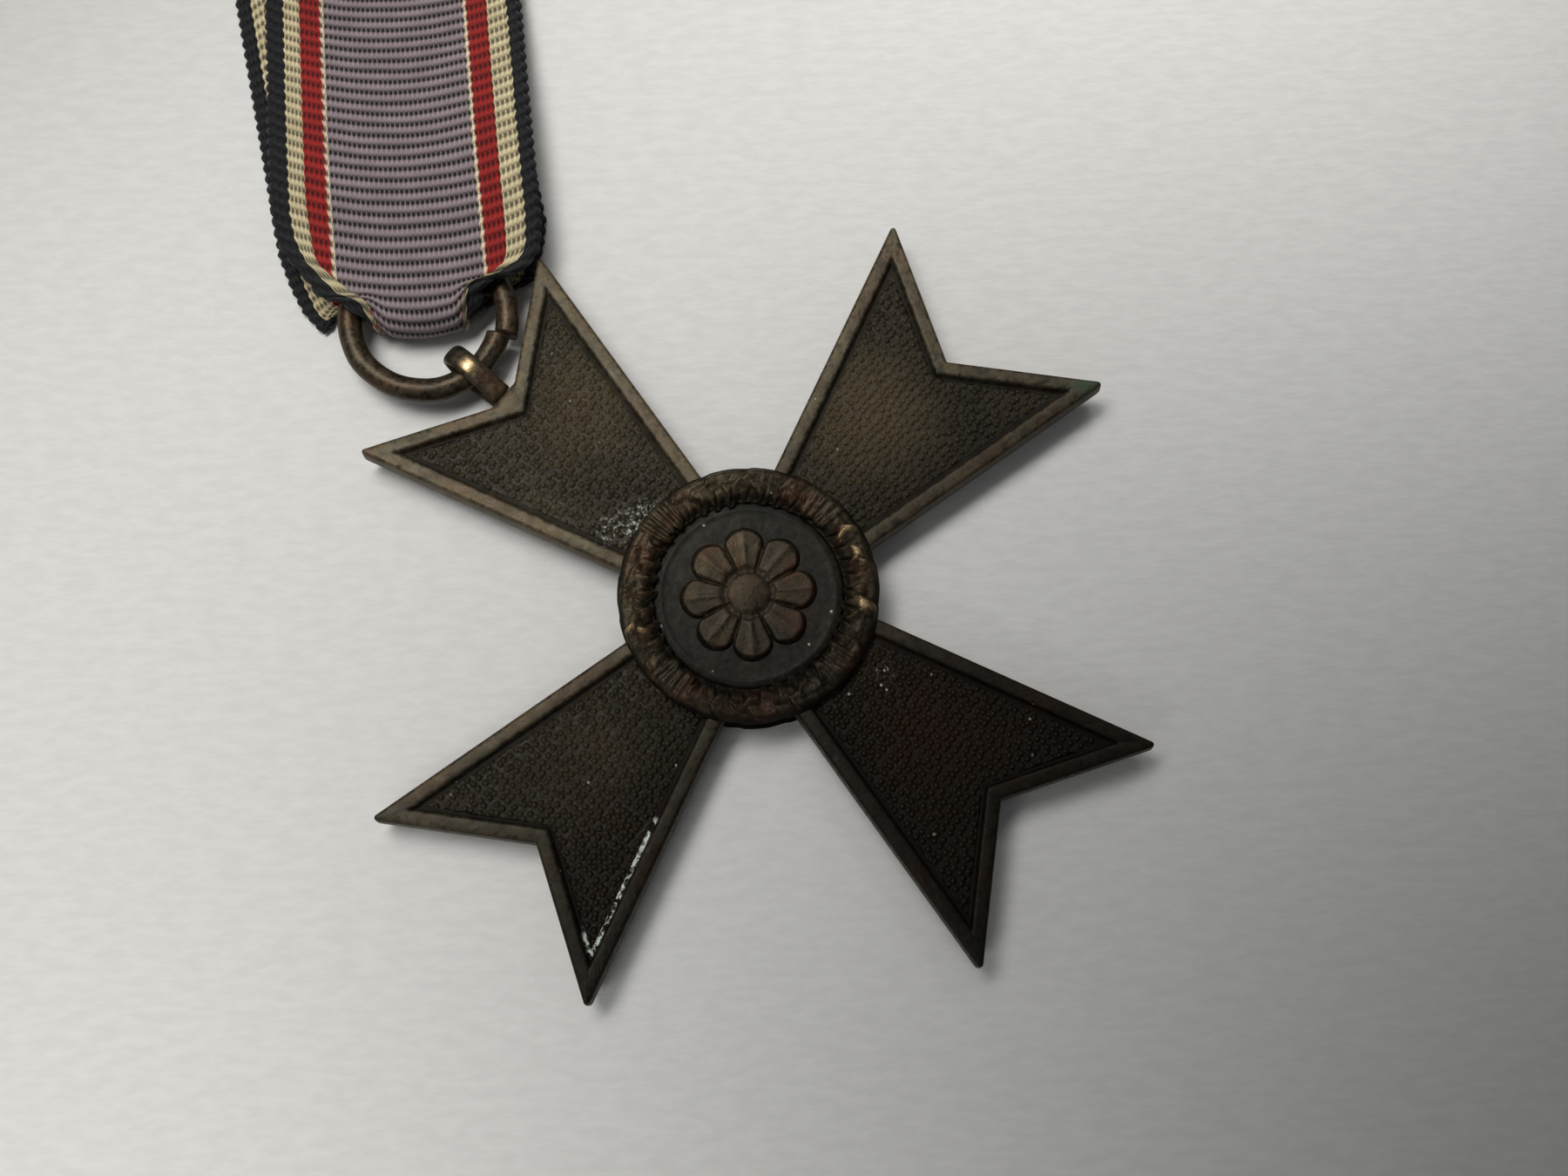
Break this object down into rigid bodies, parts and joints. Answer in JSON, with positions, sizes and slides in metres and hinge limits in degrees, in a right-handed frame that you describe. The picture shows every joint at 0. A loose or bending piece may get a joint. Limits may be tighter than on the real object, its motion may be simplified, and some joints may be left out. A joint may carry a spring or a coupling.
{
  "type": "medal",
  "caption": "Four-armed bronze cross with notched arms, wreath and rosette, hung by an eyelet and a split ring from a folded striped ribbon.",
  "frame": {"origin": "centre of the flat disc on the back of the cross, on which the medal lies", "axes": "+Z out of the front of the cross, +Y along the arm that carries the eyelet, +X to the right seen from the front"},
  "size_m": [0.0695, 0.1015, 0.0034],
  "materials": {
    "bronze": "aged brown patina, rims worn warm",
    "dark_bronze": "dark patina in the sunken fields",
    "ring_bronze": "olive brown patina, smooth drawn wire",
    "ribbon": "ribbed silk-like ribbon, mauve with red, cream and black edge stripes"
  },
  "bodies": {
    "cross": {"cross_plate": "bronze", "obverse_wreath": "bronze", "obverse_disc": "dark_bronze", "rosette": "bronze", "reverse_wreath": "bronze", "reverse_disc": "dark_bronze", "eyelet": "ring_bronze"},
    "ring": {"suspension_ring": "ring_bronze"},
    "ribbon": {"ribbon_loop": "ribbon"},
    "front_tail": {"ribbon_front_tail": "ribbon"},
    "back_tail": {"ribbon_back_tail": "ribbon"}
  },
  "joints": [
    {"name": "ring_swing", "type": "hinge", "parent": "cross", "child": "ring", "pos_m": [0, 0.02233, 0.0017], "axis": [1, 0, 0], "range_deg": [-80, 80]},
    {"name": "ribbon_turn", "type": "hinge", "parent": "ring", "child": "ribbon", "pos_m": [0.00098, 0.0271, 0.0017], "axis": [0, 0, 1], "range_deg": [0, 80]},
    {"name": "front_tail_lift", "type": "hinge", "parent": "ribbon", "child": "front_tail", "pos_m": [0.00478, 0.03204, 0.00315], "axis": [0.7325, -0.6807, 0], "range_deg": [0, 70]},
    {"name": "back_tail_lift", "type": "hinge", "parent": "ribbon", "child": "back_tail", "pos_m": [0.00538, 0.03284, -0.00005], "axis": [-0.7944, 0.6074, 0], "range_deg": [0, 70]}
  ]
}
